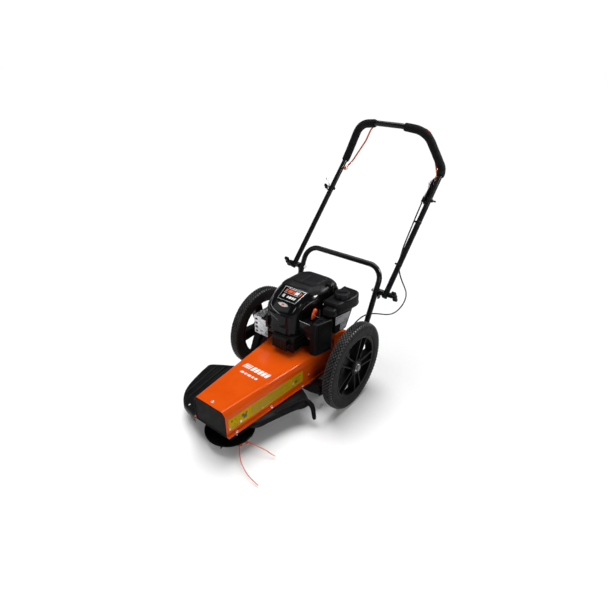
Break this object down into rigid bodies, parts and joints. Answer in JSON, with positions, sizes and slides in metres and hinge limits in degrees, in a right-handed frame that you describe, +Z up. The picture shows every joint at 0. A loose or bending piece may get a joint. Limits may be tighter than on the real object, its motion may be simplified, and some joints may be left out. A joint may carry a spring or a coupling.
{
  "type": "walk-behind brush mower",
  "caption": "Walk-behind wheeled string trimmer mower: tapered deck, petrol engine, spoked wheels, folding tube handle, bail and spinning line head.",
  "frame": {"origin": "on the floor, in the middle of the machine's footprint without its trimmer lines", "axes": "+Z up, -Y towards the trimmer head at the front, +X to the operator's left when facing -Y from behind the handle"},
  "size_m": [0.64, 1.4006, 1.1183],
  "materials": {
    "orange_paint": "gloss powder coat",
    "black_paint": "satin powder coat",
    "gloss_black": "gloss moulding",
    "matte_black": "textured moulding",
    "tyre_rubber": "moulded tread",
    "foam": "closed-cell foam",
    "zinc_steel": "zinc plated",
    "cast_alloy": "as cast",
    "dark_alloy": "black painted casting",
    "iron": "as cast",
    "guard_alloy": "pressed sheet",
    "orange_plastic": "moulded",
    "line_nylon": "extruded nylon",
    "belt_rubber": "fabric backed",
    "cable_jacket": "extruded jacket",
    "paper": "pleated paper"
  },
  "bodies": {
    "chassis": {"deck_cover": "orange_paint", "base_plate": "black_paint", "front_plate": "black_paint", "debris_shield": "matte_black", "axle_carrier": "black_paint", "stub_axles": "zinc_steel", "axle_nuts": "zinc_steel", "handle_brackets": "orange_paint", "lower_handle": "black_paint", "handle_clamps": "black_paint", "fold_bolts": "zinc_steel", "hex_bolts": "zinc_steel", "spindle_housing": "cast_alloy", "spindle_bearings": "zinc_steel", "drive_belt": "belt_rubber", "engine_block": "dark_alloy", "valve_cover": "dark_alloy", "blower_housing": "gloss_black", "top_panel": "matte_black", "muffler": "zinc_steel", "muffler_guard": "guard_alloy", "air_filter_base": "matte_black", "air_filter_element": "paper", "air_filter_cover": "matte_black", "fuel_tank": "matte_black", "carburettor": "cast_alloy", "spark_plug": "matte_black", "control_cable": "cable_jacket"},
    "upper_handle": {"upper_handle": "black_paint", "foam_grip_left": "foam", "foam_grip_right": "foam", "rope_guide": "zinc_steel", "guide_knob": "matte_black", "cable_bracket": "black_paint", "bail_pivots": "zinc_steel"},
    "bail": {"bail": "orange_paint"},
    "fold_knob_left": {"fold_knob_left": "matte_black"},
    "fold_knob_right": {"fold_knob_right": "matte_black"},
    "idler_arm": {"idler_arm": "black_paint"},
    "idler_pulley": {"idler_pulley": "matte_black"},
    "wheel_left": {"tyre_left": "tyre_rubber", "rim_left": "matte_black", "bushings_left": "zinc_steel"},
    "wheel_right": {"tyre_right": "tyre_rubber", "rim_right": "matte_black", "bushings_right": "zinc_steel"},
    "trimmer_head": {"head_disc": "matte_black", "head_foot": "matte_black", "spindle_shaft": "zinc_steel", "driven_pulley": "iron", "trimmer_line_1": "line_nylon", "trimmer_line_2": "line_nylon", "trimmer_line_3": "line_nylon", "trimmer_line_4": "line_nylon"},
    "crank": {"crankshaft": "zinc_steel", "drive_pulley": "iron", "flywheel": "dark_alloy"},
    "speed_lever": {"speed_lever": "orange_plastic"},
    "fuel_cap": {"fuel_cap": "matte_black"},
    "starter_grip": {"starter_grip": "matte_black"}
  },
  "joints": [
    {"name": "wheel_left_spin", "type": "hinge", "parent": "chassis", "child": "wheel_left", "pos_m": [0.269, -0.0913, 0.203], "axis": [1, 0, 0], "continuous": true},
    {"name": "wheel_right_spin", "type": "hinge", "parent": "chassis", "child": "wheel_right", "pos_m": [-0.269, -0.0913, 0.203], "axis": [1, 0, 0], "continuous": true},
    {"name": "crank_spin", "type": "hinge", "parent": "chassis", "child": "crank", "pos_m": [0, -0.0613, 0.3], "axis": [0, 0, 1], "continuous": true},
    {"name": "head_spin", "type": "hinge", "parent": "chassis", "child": "trimmer_head", "pos_m": [0, -0.5893, 0.1], "axis": [0, 0, 1], "continuous": true},
    {"name": "handle_fold", "type": "hinge", "parent": "chassis", "child": "upper_handle", "pos_m": [0, 0.1707, 0.448], "axis": [1, 0, 0], "range_deg": [0, 130], "deforming": ["control_cable"]},
    {"name": "bail_squeeze", "type": "hinge", "parent": "upper_handle", "child": "bail", "pos_m": [0, 0.57229, 0.85952], "axis": [1, 0, 0], "range_deg": [0, 19], "stiffness_Nm_per_rad": 1.5, "springref_deg": -11.46},
    {"name": "idler_swing", "type": "hinge", "parent": "chassis", "child": "idler_arm", "pos_m": [0.092, -0.4213, 0.18], "axis": [0, 0, 1], "range_deg": [0, 5]},
    {"name": "idler_spin", "type": "hinge", "parent": "idler_arm", "child": "idler_pulley", "pos_m": [0.0715, -0.3413, 0.162], "axis": [0, 0, 1], "continuous": true},
    {"name": "fold_knob_left_turn", "type": "hinge", "parent": "chassis", "child": "fold_knob_left", "pos_m": [0.3, 0.1707, 0.448], "axis": [1, 0, 0], "continuous": true},
    {"name": "fold_knob_right_turn", "type": "hinge", "parent": "chassis", "child": "fold_knob_right", "pos_m": [-0.3, 0.1707, 0.448], "axis": [1, 0, 0], "continuous": true},
    {"name": "speed_lever_swing", "type": "hinge", "parent": "chassis", "child": "speed_lever", "pos_m": [0.096, -0.1533, 0.408], "axis": [1, 0, 0], "range_deg": [-15, 35]},
    {"name": "fuel_cap_turn", "type": "hinge", "parent": "chassis", "child": "fuel_cap", "pos_m": [0.158, -0.0293, 0.494], "axis": [0, 0, 1], "continuous": true},
    {"name": "starter_pull", "type": "slide", "parent": "chassis", "child": "starter_grip", "axis": [0, 0, 1], "range_m": [0, 0.06], "stiffness_N_per_m": 30, "springref_m": -0.05}
  ],
  "couplings": [
    {"joint": "head_spin", "follows": "crank_spin", "ratio": 0.647},
    {"joint": "idler_spin", "follows": "crank_spin", "ratio": -1.575},
    {"joint": "idler_swing", "follows": "bail_squeeze", "ratio": 0.22}
  ]
}
